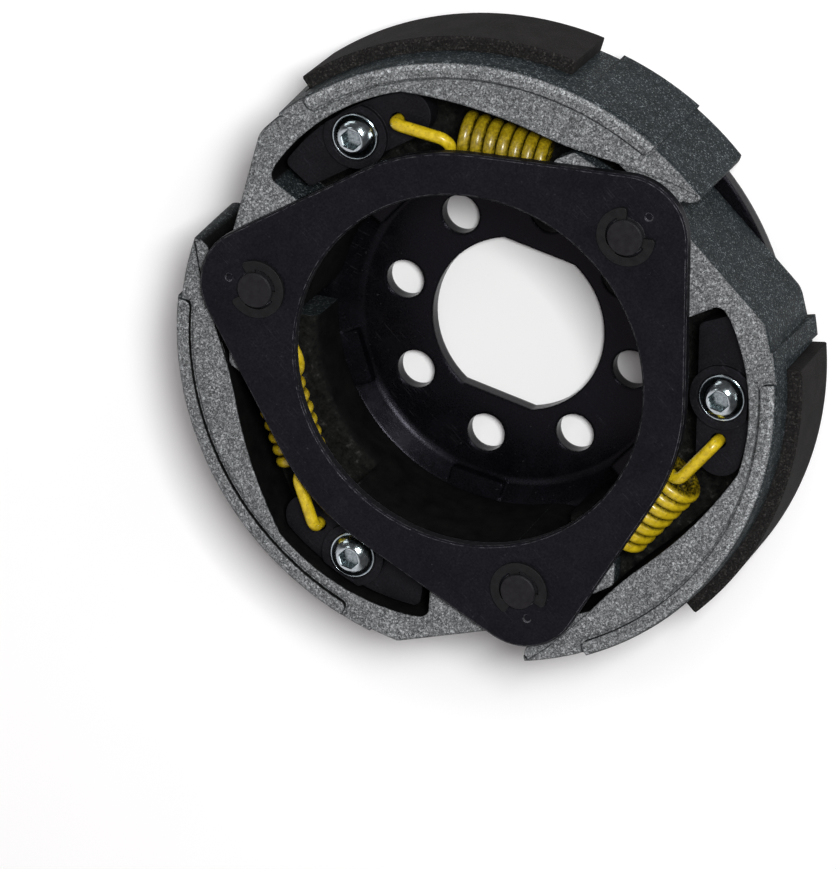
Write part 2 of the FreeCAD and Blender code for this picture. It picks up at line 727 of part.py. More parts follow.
def adjuster():
    """Black slab with a counterbored collar under the screw and a claw with an eye."""
    gap = ADJUSTER_WALL_GAP
    end_inner = inner_edge_point(ADJUSTER_END_ANGLE)
    end_outer = wall_point(6, gap)
    claw_outer = wall_point(4, gap)
    claw_inner = inner_edge_point(POCKET_STATIONS[4][0])
    claw_middle = polar((claw_outer.Length + claw_inner.Length) / 2, CLAW_ANGLE)
    edges = [
        line(end_inner, end_outer),
        arc(end_outer, wall_point(5, gap), claw_outer),
        arc(claw_outer, claw_middle, claw_inner),
        line(claw_inner, end_inner),
    ]
    slab = prism(edges, ADJUSTER_BACK_Z, ADJUSTER_TOP_Z)
    ends = upright_edges(slab, end_inner, 0.1) + upright_edges(slab, end_outer, 0.1)
    slab = slab.makeFillet(ADJUSTER_CORNER_R, ends)
    screw_centre = polar(SCREW_CIRCLE_R, SCREW_ANGLE)
    collar = disc(COLLAR_R, ADJUSTER_BACK_Z, COLLAR_TOP_Z, screw_centre)
    collar = collar.common(disc(wall_point(5, gap).Length, 0, PLATE_FRONT_Z))
    seat = disc(SCREW_FLANGE_R + COUNTERBORE_GAP, SCREW_SEAT_Z, PLATE_FRONT_Z, screw_centre)
    hole = disc(SCREW_R + SCREW_FIT_GAP, 0, PLATE_FRONT_Z, screw_centre)
    eye = disc(WIRE_R + EYE_GAP, 0, PLATE_FRONT_Z, polar(EYE_CIRCLE_R, EYE_ANGLE))
    return slab.fuse(collar).cut([seat, hole, eye]).removeSplitter()


def adjuster_screw():
    """Flanged button-head screw with a hexagon socket."""
    dome_z = SCREW_SEAT_Z + SCREW_FLANGE_HEIGHT
    top_z = dome_z + SCREW_DOME_HEIGHT
    tip_z = ADJUSTER_BACK_Z - SCREW_REACH
    rise = SCREW_DOME_HEIGHT / 3
    screw = turned([
        (0.0, tip_z),
        (SCREW_R, tip_z),
        (SCREW_R, SCREW_SEAT_Z),
        (SCREW_FLANGE_R, SCREW_SEAT_Z),
        (SCREW_FLANGE_R, dome_z),
        (SCREW_DOME_R, dome_z),
        (SCREW_DOME_R - rise / 3, dome_z + rise),
        (SCREW_DOME_R - rise, top_z - rise),
        (SCREW_TOP_R, top_z),
        (0.0, top_z),
    ])
    corner_r = SOCKET_ACROSS_FLATS / 2 / math.cos(math.radians(30))
    hexagon = [polar(corner_r, 60 * index) for index in range(6)]
    screw = screw.cut(polygon_prism(hexagon, top_z - SOCKET_DEPTH, top_z + OVERCUT))
    screw.translate(polar(SCREW_CIRCLE_R, SCREW_ANGLE))
    return screw


# Tension spring

def bend_points(start, corner, end, radius):
    """Points along a tangent arc that rounds one corner of the wire."""
    back = (start - corner).normalize()
    ahead = (end - corner).normalize()
    half_turn = back.getAngle(ahead) / 2
    trim = radius / math.tan(half_turn)
    centre = corner + (back + ahead).normalize() * (radius / math.sin(half_turn))
    first = corner + back * trim - centre
    last = corner + ahead * trim - centre
    sweep = first.getAngle(last)
    points = []
    for step in range(BEND_STEPS + 1):
        share = step / BEND_STEPS
        mix = first * math.sin((1 - share) * sweep) + last * math.sin(share * sweep)
        points.append(centre + mix * (1 / math.sin(sweep)))
    return points


def coil_frame():
    """Start of the coil's axis, its direction, and the number of turns between the hooks."""
    along = polar(1.0, SPRING_LINE_ANGLE - 90)
    start = polar(EYE_CIRCLE_R, EYE_ANGLE).dot(along) + NEAR_HOOK_LENGTH
    room = hook_hole_centre().dot(along) - FAR_HOOK_LENGTH - start
    origin = polar(SPRING_LINE_DISTANCE, SPRING_LINE_ANGLE, SPRING_AXIS_Z) + along * start
    return origin, along, int(room / COIL_PITCH)


def coil_points():
    """Centre line of the coil, and the outward direction of each point from its axis.

    It starts one step past its top and ends on the side that faces the clutch axis.
    """
    origin, along, turns = coil_frame()
    up = FreeCAD.Vector(0, 0, 1)
    inward = along.cross(up)
    last_step = turns * COIL_STEPS + COIL_STEPS // 4
    points = []
    radials = []
    for step in range(1, last_step + 1):
        turn = 2 * math.pi * step / COIL_STEPS
        radial = up * math.cos(turn) + inward * math.sin(turn)
        points.append(origin + radial * COIL_R + along * (COIL_PITCH * step / COIL_STEPS))
        radials.append(radial)
    return points, radials


def coil_heading(radial, along):
    """Direction of the wire where the coil's radius has the given direction."""
    return (along.cross(radial) * COIL_R + along * (COIL_PITCH / (2 * math.pi))).normalize()


def hook_to_eye(coil_start, coil_way):
    """Near hook: on from the top of the coil, across to the claw and down its eye."""
    eye = polar(EYE_CIRCLE_R, EYE_ANGLE)
    knee = coil_start - coil_way * NEAR_BEND_R
    over_eye = FreeCAD.Vector(eye.x, eye.y, knee.z)
    eye_low = FreeCAD.Vector(eye.x, eye.y, ADJUSTER_BACK_Z + WIRE_R)
    points = bend_points(coil_start, knee, over_eye, NEAR_BEND_R)
    points += bend_points(knee, over_eye, eye_low, EYE_BEND_R)
    return points + [eye_low]


def hook_to_horn(coil_end):
    """Far hook: down to the pocket floor, along it and up through the horn's hole."""
    hole = hook_hole_centre()
    run_z = SPRING_AXIS_Z - COIL_R
    corner = FreeCAD.Vector(coil_end.x, coil_end.y, run_z)
    foot = FreeCAD.Vector(hole.x, hole.y, run_z)
    top = FreeCAD.Vector(hole.x, hole.y, SHOE_FRONT_Z - HOOK_TIP_DROP)
    points = bend_points(coil_end, corner, foot, FAR_BEND_R)
    points += bend_points(corner, foot, top, FAR_BEND_R)
    return points + [top]


def wire_section(centre, across, side):
    ring = []
    for corner in range(WIRE_SIDES + 1):
        turn = 2 * math.pi * corner / WIRE_SIDES
        ring.append(centre + (across * math.cos(turn) + side * math.sin(turn)) * WIRE_R)
    return Part.makePolygon(ring)


def coil_sections(points, radials):
    along = coil_frame()[1]
    sections = []
    for point, radial in zip(points, radials):
        heading = coil_heading(radial, along)
        sections.append(wire_section(point, radial, heading.cross(radial)))
    return sections


def hook_sections(points, across, sense):
    """Sections along a hook that starts at the coil, carried on without twisting."""
    apart = [points[0]]
    for point in points[1:]:
        if (point - apart[-1]).Length > WIRE_R / 4:
            apart.append(point)
    last = len(apart) - 1
    sections = []
    for index in range(1, last + 1):
        heading = (apart[min(index + 1, last)] - apart[index - 1]).normalize() * sense
        across = (across - heading * across.dot(heading)).normalize()
        sections.append(wire_section(apart[index], across, heading.cross(across)))
    return sections


def spring():
    """Closely wound coil with a hook at each end, all one wire."""
    points, radials = coil_points()
    start_way = coil_heading(radials[0], coil_frame()[1])
    near = hook_sections([points[0]] + hook_to_eye(points[0], start_way), radials[0], -1)
    far = hook_sections([points[-1]] + hook_to_horn(points[-1]), radials[-1], 1)
    sections = list(reversed(near)) + coil_sections(points, radials) + far
    return Part.makeLoft(sections, True, True)


def save(node, solid):
    solid.exportStep("parts/" + node + ".step")
    count = len(solid.Solids)
    print(node, "solids", count, "valid", solid.isValid(), "volume", round(solid.Volume, 1))


def main():
    save("base_plate", base_plate())
    save("front_plate", front_plate())
    shoe_pieces = {
        "shoe": shoe(),
        "lining": lining(),
        "adjuster": adjuster(),
        "adjuster_screw": adjuster_screw(),
        "spring": spring(),
    }
    for index in range(SHOE_COUNT):
        number = str(index + 1)
        turn = -index * SHOE_PITCH
        pin_angle = SHOE_PITCH + turn
        save("pivot_pin_" + number, pivot_pin(pin_angle))
        save("circlip_" + number, circlip(pin_angle))
        for name, solid in shoe_pieces.items():
            save(name + "_" + number, spun(solid, turn))


main()
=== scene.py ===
import math

import bpy
from mathutils import Matrix, Vector


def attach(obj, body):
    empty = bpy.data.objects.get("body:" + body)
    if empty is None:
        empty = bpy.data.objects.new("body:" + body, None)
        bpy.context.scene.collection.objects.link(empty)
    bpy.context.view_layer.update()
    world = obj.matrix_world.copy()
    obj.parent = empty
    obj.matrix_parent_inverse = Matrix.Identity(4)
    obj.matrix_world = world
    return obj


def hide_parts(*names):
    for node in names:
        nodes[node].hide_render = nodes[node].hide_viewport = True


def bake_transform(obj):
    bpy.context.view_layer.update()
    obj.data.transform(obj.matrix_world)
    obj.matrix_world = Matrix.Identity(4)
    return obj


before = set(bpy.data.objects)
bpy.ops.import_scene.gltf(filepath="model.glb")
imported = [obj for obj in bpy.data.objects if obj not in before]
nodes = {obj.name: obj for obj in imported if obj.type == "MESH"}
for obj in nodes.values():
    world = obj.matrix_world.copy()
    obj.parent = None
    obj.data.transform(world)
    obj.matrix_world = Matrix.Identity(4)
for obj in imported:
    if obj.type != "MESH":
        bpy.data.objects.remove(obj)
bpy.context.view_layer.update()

# Places and sizes in millimetres and degrees, for the shoe hinged at 120 degrees; the others are turned

MM = 0.001
SHOE_TURNS = {1: 0.0, 2: -120.0, 3: -240.0}
PIN_CIRCLE_R = 51.3
PIN_ANGLE = 120.0
NEXT_PIN_ANGLE = 0.0
SHOE_FRONT_Z = 35.25

SPRING_AXIS_R = 49.5
SPRING_AXIS_ANGLE = 34.0
SPRING_AXIS_DEPTH = 6.8
COIL_R = 4.6
COIL_PITCH = 2.95
COIL_STEPS = 36
WIRE_R = 1.4
WIRE_SIDES = 14
WIRE_MIN_STEP = 0.15 * WIRE_R
EYE_R = 57.2
EYE_ANGLE = 64.4
EYE_LOW_Z = 27.85
EYE_TO_COIL = 13.2
HORN_HOLE_FROM_PIN = 12.05
HORN_HOLE_ANGLE = 104.4
HORN_HOLE_TO_COIL = 10.5
HOOK_TOP_DEPTH = 0.8
KNEE_OUT = 2.8
KNEE_BEND_R = 2.8
EYE_BEND_R = 1.8
FAR_BEND_R = 3.2
# Darker wire: a share over each whole coil, and painted shade with dirt nearer the coil axis, between the
# turns
COIL_DARK_SHARE = {1: 0.62, 2: 0.10, 3: 0.15}
INNER_SHADE_R = 5.75
SHADE_FADE = 0.6

SCREW_R = 57.1
SCREW_ANGLE = 75.0
SCREW_SIDES = 72
SCREW_TIP_Z = 17.45
SCREW_SEAT_Z = 32.2
TIP_CHAMFER = 0.4
SHANK_R = 3.0
FLANGE_R = 5.35
FLANGE_HEIGHT = 0.6
DOME_R = 5.6
DOME_LOW_TILT = 62.0
DOME_HIGH_TILT = 28.0
DOME_STEPS = 10
SOCKET_HALF_WIDTH = 2.0
SOCKET_CHAMFER_R = 0.2
SOCKET_CHAMFER_DEPTH = 0.25
SOCKET_DEPTH = 1.9
SHARP_ANGLE = 32.0

# Camera fitted to the photograph, in metres, degrees and pixels

CAMERA_PLACE = (0.583661, 0.026527, 1.154178)
CAMERA_ANGLES = (-20.452657, 20.153416, -44.418700)
FOCAL_PX = 5726.5
PHOTO_HEIGHT_PX = 869.0
SENSOR_MM = 36.0

# Lamps face this place, in metres

LAMP_TARGET = (0.0, 0.0, 0.02)

# Floor in metres, with the glow that only the camera sees in it beyond the shadow

FLOOR_HALF = 6.0
FLOOR_DROP = 0.0002
GLOW_CENTRE = (-0.020, -0.003, 0.0)
GLOW_REACH = 0.12
GLOW_STOPS = [(0.55, 0.0), (0.71, 0.16)]


# Node trees

class Nodes:
    """Adds and links the nodes of one tree."""

    def __init__(self, tree):
        self.tree = tree

    def add(self, kind, inputs=None, **settings):
        node = self.tree.nodes.new(kind)
        for key, value in settings.items():
            setattr(node, key, value)
        for key, value in (inputs or {}).items():
            self.put(node.inputs[key], value)
        return node

    def put(self, socket, value):
        if isinstance(value, bpy.types.NodeSocket):
            self.tree.links.new(value, socket)
        else:
            socket.default_value = value

    def vector(self, operation, *values, result=0):
        inputs = dict(enumerate(values))
        return self.add("ShaderNodeVectorMath", inputs, operation=operation).outputs[result]


class Surface(Nodes):
    """The nodes of one material."""

    def __init__(self, name):
        self.material = bpy.data.materials.new(name)
        self.material.use_nodes = True
        super().__init__(self.material.node_tree)
        self.shader = self.tree.nodes["Principled BSDF"]
        self.place = self.add("ShaderNodeTexCoord").outputs["Object"]
        self.normal = self.add("ShaderNodeNewGeometry").outputs["Normal"]

    def math(self, operation, a, b=0.0, clamp=False):
        return self.add("ShaderNodeMath", {0: a, 1: b}, operation=operation, use_clamp=clamp).outputs[0]

    def ramp(self, value, stops):
        """Value through stops of (position, grey or colour)."""
        node = self.add("ShaderNodeValToRGB", {"Fac": value})
        elements = node.color_ramp.elements
        while len(elements) < len(stops):
            elements.new(0.5)
        for element, (position, colour) in zip(elements, stops):
            element.position = position
            if not isinstance(colour, tuple):
                colour = (colour, colour, colour)
            element.color = (*colour, 1.0)
        return node.outputs["Color"]

    def mix(self, share, a, b, blend="MIX"):
        """Colour a towards colour b; a plain number stands for a grey."""
        node = self.add("ShaderNodeMix", data_type="RGBA", blend_type=blend)
        for socket, value in ((node.inputs[0], share), (node.inputs[6], a), (node.inputs[7], b)):
            if isinstance(value, (int, float)) and socket.type == "RGBA":
                value = (value, value, value)
            if isinstance(value, tuple):
                value = (*value, 1.0)
            self.put(socket, value)
        return node.outputs[2]

    def tinted(self, colour, tint):
        return self.mix(1.0, colour, tint, "MULTIPLY")

    def noise(self, size_mm, detail=2.0, rough=0.5):
        return self.add("ShaderNodeTexNoise", {
            "Vector": self.place,
            "Scale": 1.0 / (size_mm * MM),
            "Detail": detail,
            "Roughness": rough,
        }).outputs["Fac"]

    def grains(self, size_mm):
        """Random value of each grain of about that size."""
        cells = self.add("ShaderNodeTexVoronoi", {
            "Vector": self.place,
            "Scale": 1.0 / (size_mm * MM),
        }).outputs["Color"]
        return self.add("ShaderNodeSeparateColor", {"Color": cells}).outputs[0]

    def stretched(self, angle, across_mm, along_mm):
        """Coordinates squeezed so that a texture runs in long lines."""
        return self.add("ShaderNodeMapping", {
            "Vector": self.place,
            "Rotation": (0.0, 0.0, math.radians(angle)),
            "Scale": (1.0 / (across_mm * MM), 1.0 / (along_mm * MM), 1.0 / (along_mm * MM)),
        }).outputs["Vector"]

    def scratches(self, angle, share, across_mm, along_mm):
        """Sparse thin lines, white on black."""
        lines = self.add("ShaderNodeTexNoise", {
            "Vector": self.stretched(angle, across_mm, along_mm),
            "Scale": 1.0,
            "Detail": 1.0,
        }).outputs["Fac"]
        thin = self.ramp(lines, [(0.72 - share, 0.0), (0.76 - share, 1.0)])
        gate = self.ramp(self.noise(14.0 + angle * 0.01, 1.0), [(0.5, 0.0), (0.6, 1.0)])
        return self.tinted(thin, gate)

    def between(self, value, low, high):
        """Black at the low value, white at the high one."""
        return self.add("ShaderNodeMapRange", {"Value": value, "From Min": low, "From Max": high}).outputs[0]

    def z_of(self, vector):
        return self.add("ShaderNodeSeparateXYZ", {"Vector": vector}).outputs["Z"]

    def facing_up(self, low, high, normal=None):
        """White where the surface faces the front of the object."""
        return self.between(self.z_of(self.normal if normal is None else normal), low, high)

    def height(self, low_mm, high_mm):
        """White above the second height, black below the first."""
        return self.between(self.z_of(self.place), low_mm * MM, high_mm * MM)

    def flat(self, place):
        """The place's part across the clutch axis."""
        return self.vector("MULTIPLY", place, (1.0, 1.0, 0.0))

    def inner_wall(self):
        """White on upright surfaces that face the clutch axis."""
        away = self.vector("NORMALIZE", self.flat(self.place))
        return self.between(self.vector("DOT_PRODUCT", self.normal, away, result="Value"), 0.1, -0.3)

    def turned_rings(self, centre, width_mm):
        """Wave of rings round an upright axis."""
        away = self.flat(self.vector("SUBTRACT", self.place, centre))
        radius = self.vector("LENGTH", away, result="Value")
        return self.math("SINE", self.math("MULTIPLY", radius, 2 * math.pi / (width_mm * MM)))

    def edges(self, radius_mm, gain):
        """White along sharp edges, and the rounded normal that shows there."""
        rounded = self.add("ShaderNodeBevel", {"Radius": radius_mm * MM}, samples=6).outputs["Normal"]
        same = self.vector("DOT_PRODUCT", rounded, self.normal, result="Value")
        apart = self.math("SUBTRACT", 1.0, same)
        return self.math("MULTIPLY", apart, gain, clamp=True), rounded

    def relief(self, heights, normal=None):
        """Bump chain from (height, strength, depth in mm)."""
        for height, strength, depth in heights:
            inputs = {"Height": height, "Strength": strength, "Distance": depth * MM}
            if normal is not None:
                inputs["Normal"] = normal
            normal = self.add("ShaderNodeBump", inputs).outputs["Normal"]
        self.put(self.shader.inputs["Normal"], normal)

    def finish(self, colour, roughness, metallic, specular):
        self.put(self.shader.inputs["Base Color"], colour)
        self.put(self.shader.inputs["Roughness"], roughness)
        self.put(self.shader.inputs["Metallic"], metallic)
        self.shader.inputs["Specular IOR Level"].default_value = specular
        return self.material


# Materials

def casting():
    """Shot-blasted light casting: speckled front with painted glints, dark grey skin round the sides partly
    painted shade, grimy inside with painted shade.
    """
    t = Surface("casting")
    coarse = t.grains(0.38)
    fine = t.grains(0.21)
    # Grain tone of the front; the brightest grains are painted glints
    grain_and_glints = t.ramp(coarse, [(0.0, 0.050), (0.3, 0.138), (0.7, 0.28), (0.9, 0.51), (1.0, 0.90)])
    grain_and_glints = t.mix(0.45, grain_and_glints, t.ramp(fine, [(0.0, 0.042), (0.7, 0.295), (1.0, 0.88)]))
    cloud = t.ramp(t.noise(9.0, 3.0), [(0.3, (0.73, 0.755, 0.775)), (0.7, (0.92, 0.95, 0.975))])
    front = t.tinted(grain_and_glints, cloud)
    # Dark grey-green skin of the sides, darker than the front partly as painted shade
    side_skin_and_shade = t.ramp(t.grains(0.27), [
        (0.0, (0.009, 0.0118, 0.0132)), (0.70, (0.0195, 0.0245, 0.0270)),
        (0.90, (0.046, 0.054, 0.058)), (1.0, (0.17, 0.19, 0.20)),
    ])
    side_skin_and_shade = t.tinted(side_skin_and_shade, t.ramp(t.noise(5.0, 4.0, 0.6), [(0.3, 0.75), (0.7, 1.25)]))
    worn, rounded = t.edges(0.8, 3.0)
    # Surfaces turned away from the front take the side colour, which is partly painted shade
    colour = t.mix(t.facing_up(0.55, 0.9, rounded), side_skin_and_shade, front)

    # Near-black inner walls that face the clutch axis: dirt and painted shade
    grime_and_shade = t.ramp(t.noise(4.0, 4.0, 0.6), [(0.3, (0.0022, 0.0022, 0.0026)), (0.7, (0.0065, 0.0063, 0.006))])
    inside = t.inner_wall()
    colour = t.mix(inside, colour, grime_and_shade)
    # Dark up-facing floors deep in the pockets: dirt and painted shade
    floor_grime_and_shade = t.ramp(t.noise(1.6, 4.0, 0.7), [
        (0.35, (0.003, 0.003, 0.003)), (0.6, (0.012, 0.012, 0.011)), (0.8, (0.06, 0.058, 0.055)),
    ])
    low_down = t.math("SUBTRACT", 1.0, t.height(30.0, 31.5))
    colour = t.mix(t.math("MULTIPLY", t.facing_up(0.3, 0.9), low_down), colour, floor_grime_and_shade)

    worn = t.math("MULTIPLY", worn, t.ramp(t.noise(1.2, 3.0), [(0.45, 0.0), (0.7, 0.45)]))
    worn = t.math("MULTIPLY", worn, t.height(31.0, 34.0))
    colour = t.mix(worn, colour, (0.33, 0.34, 0.35))
    t.relief([(coarse, 0.6, 0.14), (t.noise(0.5, 4.0, 0.7), 0.5, 0.12)], rounded)
    roughness = t.mix(inside, t.ramp(fine, [(0.0, 0.40), (1.0, 0.66)]), 0.85)
    return t.finish(colour, roughness, 0.0, 0.05)


def friction_compound():
    """Dark moulded lining with coarse grain on its cut sides."""
    t = Surface("friction_compound")
    grain = t.grains(0.32)
    fine = t.noise(0.35, 5.0, 0.7)
    skin = t.ramp(t.noise(6.0, 4.0, 0.6), [(0.3, (0.0105, 0.0096, 0.0094)), (0.7, (0.0170, 0.0157, 0.0154))])
    cut = t.ramp(grain, [
        (0.0, (0.008, 0.0075, 0.0073)), (0.55, (0.0145, 0.0137, 0.0134)),
        (0.88, (0.023, 0.0218, 0.0212)), (1.0, (0.048, 0.0445, 0.042)),
    ])
    level = t.ramp(t.math("ABSOLUTE", t.z_of(t.normal)), [(0.2, 0.0), (0.6, 1.0)])
    colour = t.mix(level, skin, cut)
    worn, rounded = t.edges(0.5, 2.5)
    colour = t.mix(t.math("MULTIPLY", worn, 0.35), colour, (0.035, 0.032, 0.031))
    pits = t.ramp(fine, [(0.3, 0.0), (0.5, 1.0)])
    t.relief([(pits, 0.5, 0.12), (grain, 0.35, 0.10)], rounded)
    return t.finish(colour, t.ramp(fine, [(0.3, 0.70), (0.7, 0.88)]), 0.0, 0.06)


def black_plate(name, dark, light, tint, sheen, gloss, edge, edge_mm, rubbed):
    """Black phosphated sheet with faint rubbed marks and brighter worn edges."""
    t = Surface(name)
    cloud = t.noise(7.0, 5.0, 0.62)
    colour = t.ramp(cloud, [(0.3, tuple(dark * c for c in tint)), (0.7, tuple(light * c for c in tint))])
    dust = t.ramp(t.noise(0.9, 2.0, 0.7), [(0.70, 0.0), (0.80, 1.0)])
    colour = t.mix(t.math("MULTIPLY", dust, 0.4), colour, (0.045, 0.045, 0.05))
    lines = t.mix(1.0, t.scratches(20.0, 0.03, 0.3, 5.0), t.scratches(-55.0, 0.02, 0.25, 7.0), "LIGHTEN")
    colour = t.mix(t.math("MULTIPLY", lines, 0.3), colour, (0.035, 0.035, 0.042))
    fine = t.noise(0.45, 4.0, 0.7)
    colour = t.tinted(colour, t.ramp(fine, [(0.35, 0.55), (0.65, 1.5)]))
    worn, rounded = t.edges(edge_mm, 3.0)
    wear = t.math("MULTIPLY", worn, t.ramp(t.noise(1.6, 4.0, 0.6), [(0.42, 0.0), (0.60, rubbed)]))
    colour = t.mix(wear, colour, edge)
    t.relief([(cloud, 0.15, 0.10), (fine, 0.35, 0.05)], rounded)
    t.shader.inputs["Specular Tint"].default_value = (0.86, 0.82, 1.0, 1.0)
    return t.finish(colour, t.ramp(cloud, [(0.3, sheen - 0.06), (0.7, sheen + 0.08)]), wear, gloss)


def dark_steel(name, low, high, roughness, rings_centre=None):
    """Oiled dark steel, with turned rings where they have a centre."""
    t = Surface(name)
    cloud = t.noise(1.6, 4.0, 0.6)
    colour = t.ramp(cloud, [(0.3, low), (0.7, high)])
    worn, rounded = t.edges(0.2, 3.5)
    colour = t.mix(t.math("MULTIPLY", worn, 0.7), colour, tuple(2.4 * c for c in high))
    heights = [(t.noise(0.25, 3.0), 0.25, 0.03)]
    if rings_centre is not None:
        heights.append((t.turned_rings(rings_centre, 0.35), 0.35, 0.02))
    t.relief(heights, rounded)
    return t.finish(colour, t.ramp(cloud, [(0.3, roughness - 0.05), (0.7, roughness + 0.1)]), 0.1, 0.16)


def zinc(name, centre):
    """Bright bluish plated screw head with fine turned rings and small dull spots."""
    t = Surface(name)
    cloud = t.noise(0.9, 4.0, 0.65)
    colour = t.ramp(cloud, [(0.25, (0.40, 0.49, 0.52)), (0.7, (0.68, 0.77, 0.80))])
    spots = t.ramp(t.noise(0.35, 3.0, 0.7), [(0.62, 0.0), (0.74, 0.5)])
    colour = t.mix(spots, colour, (0.22, 0.25, 0.26))
    t.relief([(t.turned_rings(centre, 0.3), 0.10, 0.02), (cloud, 0.25, 0.05)])
    return t.finish(colour, t.ramp(cloud, [(0.3, 0.10), (0.7, 0.20)]), 1.0, 0.5)


def socket_shade_steel():
    """Steel inside the hexagon socket, darker than the head as painted shade of the recess."""
    t = Surface("socket_shade_steel")
    cloud = t.noise(0.5, 3.0, 0.6)
    colour = t.ramp(cloud, [(0.3, (0.16, 0.20, 0.215)), (0.7, (0.46, 0.54, 0.565))])
    t.relief([(cloud, 0.3, 0.06)])
    return t.finish(colour, t.ramp(cloud, [(0.3, 0.18), (0.7, 0.32)]), 1.0, 0.5)


def spring_paint():
    """Glossy yellow paint with flecks, darkened by the painted shade and dirt that each spring's mesh
    carries.
    """
    t = Surface("spring_paint")
    cloud = t.noise(1.3, 4.0, 0.6)
    paint = t.ramp(cloud, [(0.3, (0.43, 0.295, 0.004)), (0.7, (0.72, 0.53, 0.013))])
    # Darkening carried by each spring's mesh: painted shade and dirt
    grime_and_shade = t.add("ShaderNodeAttribute", attribute_name="grime_and_shade").outputs["Fac"]
    patches = t.ramp(t.noise(0.6, 5.0, 0.7), [(0.35, 0.55), (0.6, 1.1)])
    colour = t.mix(t.math("MULTIPLY", grime_and_shade, patches, clamp=True), paint, (0.012, 0.009, 0.001))
    flecks = t.ramp(t.noise(0.8, 4.0, 0.75), [(0.58, 0.0), (0.70, 1.0)])
    colour = t.mix(t.math("MULTIPLY", flecks, 0.7), colour, (0.09, 0.068, 0.008))
    t.relief([(cloud, 0.3, 0.12), (t.noise(0.3, 3.0), 0.25, 0.05)])
    t.shader.inputs["Coat Weight"].default_value = 0.3
    t.shader.inputs["Coat Roughness"].default_value = 0.15
    return t.finish(colour, t.ramp(cloud, [(0.3, 0.28), (0.7, 0.44)]), 0.0, 0.5)


def floor_material():
    """Near white floor; its glow has stops of (distance from the centre by reach, strength)."""
    t = Surface("floor_white")
    colour = t.ramp(t.noise(40.0, 2.0), [(0.3, (0.945, 0.94, 0.942)), (0.7, (0.955, 0.95, 0.952))])
    seen = t.add("ShaderNodeLightPath").outputs["Is Camera Ray"]
    distance = t.vector("DISTANCE", t.place, GLOW_CENTRE, result="Value")
    glow = t.ramp(t.math("MULTIPLY", distance, 1.0 / GLOW_REACH), GLOW_STOPS)
    t.shader.inputs["Emission Color"].default_value = (1.0, 0.98, 0.99, 1.0)
    t.put(t.shader.inputs["Emission Strength"], t.math("MULTIPLY", seen, glow))
    return t.finish(colour, 0.9, 0.0, 0.0)


# Small helpers

def polar(radius, angle, z=0.0):
    turn = math.radians(angle)
    return Vector((radius * math.cos(turn), radius * math.sin(turn), z))


def put_in_scene(name, data):
    thing = bpy.data.objects.new(name, data)
    bpy.context.scene.collection.objects.link(thing)
    return thing


def turn_to_shoe(k):
    return Matrix.Rotation(math.radians(SHOE_TURNS[k]), 4, "Z")


def smooth_mesh(name, verts, faces, k):
    """Mesh in metres of a shape drawn in millimetres for the first shoe, turned to shoe k."""
    turn = turn_to_shoe(k)
    mesh = bpy.data.meshes.new(name)
    mesh.from_pydata([(turn @ v) * MM for v in verts], [], faces)
    mesh.shade_smooth()
    return mesh


def ring_faces(rings, sides):
    """Quads between rings of vertices, each ring with the same number of sides."""
    faces = []
    for ring in range(rings - 1):
        for side in range(sides):
            a = ring * sides + side
            b = ring * sides + (side + 1) % sides
            faces.append((a, b, b + sides, a + sides))
    return faces


# Carried-over solids

def dress(node_name, material):
    node = nodes[node_name]
    if not node.material_slots:
        node.data.materials.append(material)
    for slot in node.material_slots:
        slot.material = material


def dress_all():
    cast = casting()
    lining = friction_compound()
    plate = black_plate(
        "front_black", 0.0056, 0.0092, (0.97, 0.97, 1.25), sheen=0.46, gloss=0.08,
        edge=(0.50, 0.50, 0.54), edge_mm=0.3, rubbed=0.8)
    base = black_plate(
        "base_black", 0.0018, 0.0036, (1.0, 0.95, 1.3), sheen=0.24, gloss=0.12,
        edge=(0.03, 0.03, 0.038), edge_mm=1.1, rubbed=0.1)
    slab = black_plate(
        "adjuster_black", 0.0048, 0.0090, (1.0, 0.97, 1.15), sheen=0.42, gloss=0.10,
        edge=(0.06, 0.06, 0.066), edge_mm=0.25, rubbed=0.8)
    clip = dark_steel("clip_steel", (0.006, 0.006, 0.0068), (0.012, 0.012, 0.013), 0.46)
    dress("front_plate", plate)
    dress("base_plate", base)
    for k, turn in SHOE_TURNS.items():
        centre = polar(PIN_CIRCLE_R, PIN_ANGLE + turn) * MM
        pin = dark_steel("pin_steel_%d" % k, (0.009, 0.0083, 0.0100), (0.017, 0.0162, 0.0185), 0.48, centre)
        dress("shoe_%d" % k, cast)
        dress("lining_%d" % k, lining)
        dress("adjuster_%d" % k, slab)
        dress("circlip_%d" % k, clip)
        dress("pivot_pin_%d" % k, pin)


# Springs

def bend(start, corner, end, radius, steps=10):
    """Points along the arc that rounds a corner of the wire."""
    back = (start - corner).normalized()
    ahead = (end - corner).normalized()
    half = back.angle(ahead) / 2
    trim = radius / math.tan(half)
    centre = corner + (back + ahead).normalized() * (radius / math.sin(half))
    first = corner + back * trim - centre
    last = corner + ahead * trim - centre
    sweep = first.angle(last)
    points = []
    for step in range(steps + 1):
        share = step / steps
        mix = first * math.sin((1 - share) * sweep) + last * math.sin(share * sweep)
        points.append(centre + mix / math.sin(sweep))
    return points


def coil_points(origin, along, turns):
    """Helix from a twelfth of a turn to a quarter past the last full turn."""
    up = Vector((0, 0, 1))
    inward = along.cross(up)
    points = []
    for step in range(COIL_STEPS // 12, turns * COIL_STEPS + COIL_STEPS // 4 + 1):
        turn = 2 * math.pi * step / COIL_STEPS
        radial = up * math.cos(turn) + inward * math.sin(turn)
        points.append(origin + radial * COIL_R + along * (COIL_PITCH * step / COIL_STEPS))
    return points


